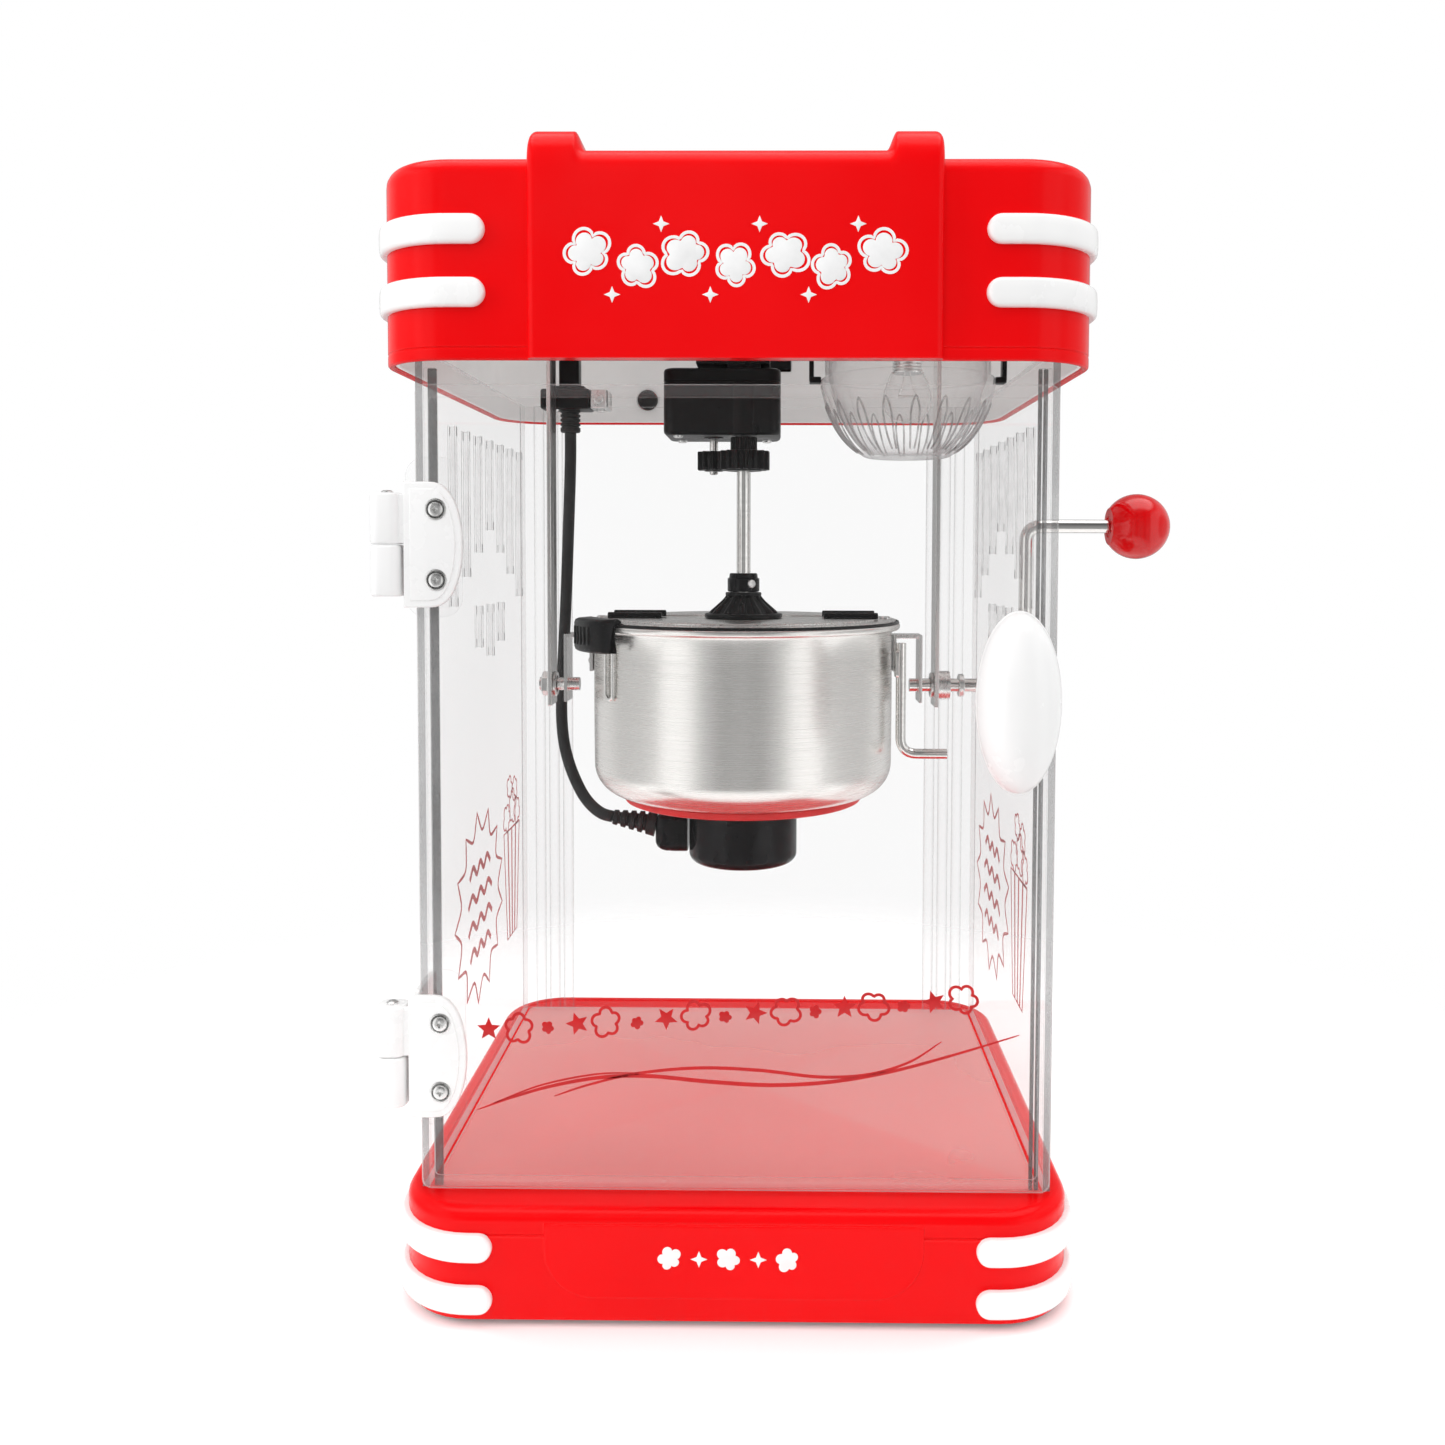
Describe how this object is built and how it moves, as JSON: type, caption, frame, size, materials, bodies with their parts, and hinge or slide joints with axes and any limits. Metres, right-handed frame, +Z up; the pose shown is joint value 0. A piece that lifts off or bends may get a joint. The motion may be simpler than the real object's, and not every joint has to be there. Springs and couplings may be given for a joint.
{
  "type": "popcorn maker",
  "caption": "Tabletop kettle popcorn maker: red base and head, clear cabinet with a hinged door, tilting steel kettle with a geared stirrer and crank.",
  "frame": {"origin": "middle of the base's footprint on the surface it stands on; the underside plate is 2 mm above it", "axes": "+Z up, -Y towards the door, +X to the crank's side"},
  "size_m": [0.3559, 0.2593, 0.48],
  "materials": {
    "red_plastic": "high gloss red moulding",
    "white_plastic": "gloss white moulding",
    "black_plastic": "satin black moulding",
    "clear_plastic": "clear polished plastic",
    "liner": "satin light grey liner",
    "rubber": "matt black rubber",
    "brushed_steel": "brushed round the pot",
    "steel": "pressed bright steel",
    "chrome": "plated rod",
    "red_enamel": "red enamelled plate",
    "lamp_glass": "clear fluted glass"
  },
  "bodies": {
    "cabinet": {"base_shell": "red_plastic", "base_bottom_plate": "black_plastic", "floor_tray": "clear_plastic", "foot_front_left": "rubber", "foot_front_right": "rubber", "foot_rear_left": "rubber", "foot_rear_right": "rubber", "base_band_left_lower": "white_plastic", "base_band_left_upper": "white_plastic", "base_band_right_lower": "white_plastic", "base_band_right_upper": "white_plastic", "head_shell": "red_plastic", "head_liner": "liner", "head_center_band": "red_plastic", "head_band_left_lower": "white_plastic", "head_band_left_upper": "white_plastic", "head_band_right_lower": "white_plastic", "head_band_right_upper": "white_plastic", "mains_gland": "black_plastic", "side_panel_left": "clear_plastic", "side_panel_right": "clear_plastic", "rear_panel": "clear_plastic", "hinge_side_leaf_lower": "white_plastic", "hinge_side_leaf_upper": "white_plastic", "motor_cover": "black_plastic", "drive_motor": "steel", "motor_mount": "black_plastic", "fixed_strap_left": "steel", "fixed_strap_right": "steel", "lamp_bowl": "lamp_glass", "lamp_socket": "white_plastic", "lamp_bulb": "lamp_glass", "strain_block": "black_plastic", "kettle_lead": "rubber"},
    "door": {"door_panel": "clear_plastic", "door_handle": "white_plastic", "hinge_door_leaf_lower": "white_plastic", "hinge_door_leaf_upper": "white_plastic"},
    "kettle": {"kettle_pot": "brushed_steel", "kettle_hanger_left": "steel", "kettle_hanger_right": "steel", "lid_bridge": "steel", "heater_plate": "red_enamel", "heating_element": "steel", "heater_housing": "black_plastic", "kettle_grip": "black_plastic", "stop_rod": "steel", "crank_rod": "chrome", "ball_knob": "red_plastic", "stir_hub": "black_plastic", "lead_boot": "rubber", "lead_plug": "black_plastic"},
    "lid_front": {"lid_flap_front": "steel"},
    "lid_rear": {"lid_flap_rear": "steel"},
    "stirrer": {"stir_shaft": "steel", "shaft_collar": "black_plastic", "driven_gear": "black_plastic"},
    "pinion": {"pinion": "black_plastic"},
    "heat_switch": {"heat_switch": "black_plastic"},
    "drive_switch": {"drive_switch": "black_plastic"}
  },
  "joints": [
    {"name": "door_swing", "type": "hinge", "parent": "cabinet", "child": "door", "pos_m": [-0.1423, -0.1095, 0.2], "axis": [0, 0, -1], "range_deg": [0, 110]},
    {"name": "kettle_tilt", "type": "hinge", "parent": "cabinet", "child": "kettle", "pos_m": [0, -0.005, 0.25], "axis": [1, 0, 0], "range_deg": [0, 50], "deforming": ["kettle_lead"]},
    {"name": "lid_front_lift", "type": "hinge", "parent": "kettle", "child": "lid_front", "pos_m": [0, -0.015, 0.28195], "axis": [-1, 0, 0], "range_deg": [0, 75]},
    {"name": "lid_rear_lift", "type": "hinge", "parent": "kettle", "child": "lid_rear", "pos_m": [0, 0.005, 0.28195], "axis": [1, 0, 0], "range_deg": [0, 75]},
    {"name": "stirrer_spin", "type": "hinge", "parent": "kettle", "child": "stirrer", "pos_m": [0, -0.005, 0.3], "axis": [0, 0, 1], "continuous": true},
    {"name": "pinion_spin", "type": "hinge", "parent": "cabinet", "child": "pinion", "pos_m": [-0.01524, 0.00695, 0.36], "axis": [0, 0, 1], "continuous": true},
    {"name": "heat_switch_press", "type": "hinge", "parent": "cabinet", "child": "heat_switch", "pos_m": [-0.017, 0.12375, 0.43134], "axis": [1, 0, 0], "range_deg": [0, 14]},
    {"name": "drive_switch_press", "type": "hinge", "parent": "cabinet", "child": "drive_switch", "pos_m": [0.017, 0.12375, 0.43134], "axis": [1, 0, 0], "range_deg": [0, 14]}
  ],
  "couplings": [
    {"joint": "pinion_spin", "follows": "stirrer_spin", "ratio": -1.6}
  ]
}
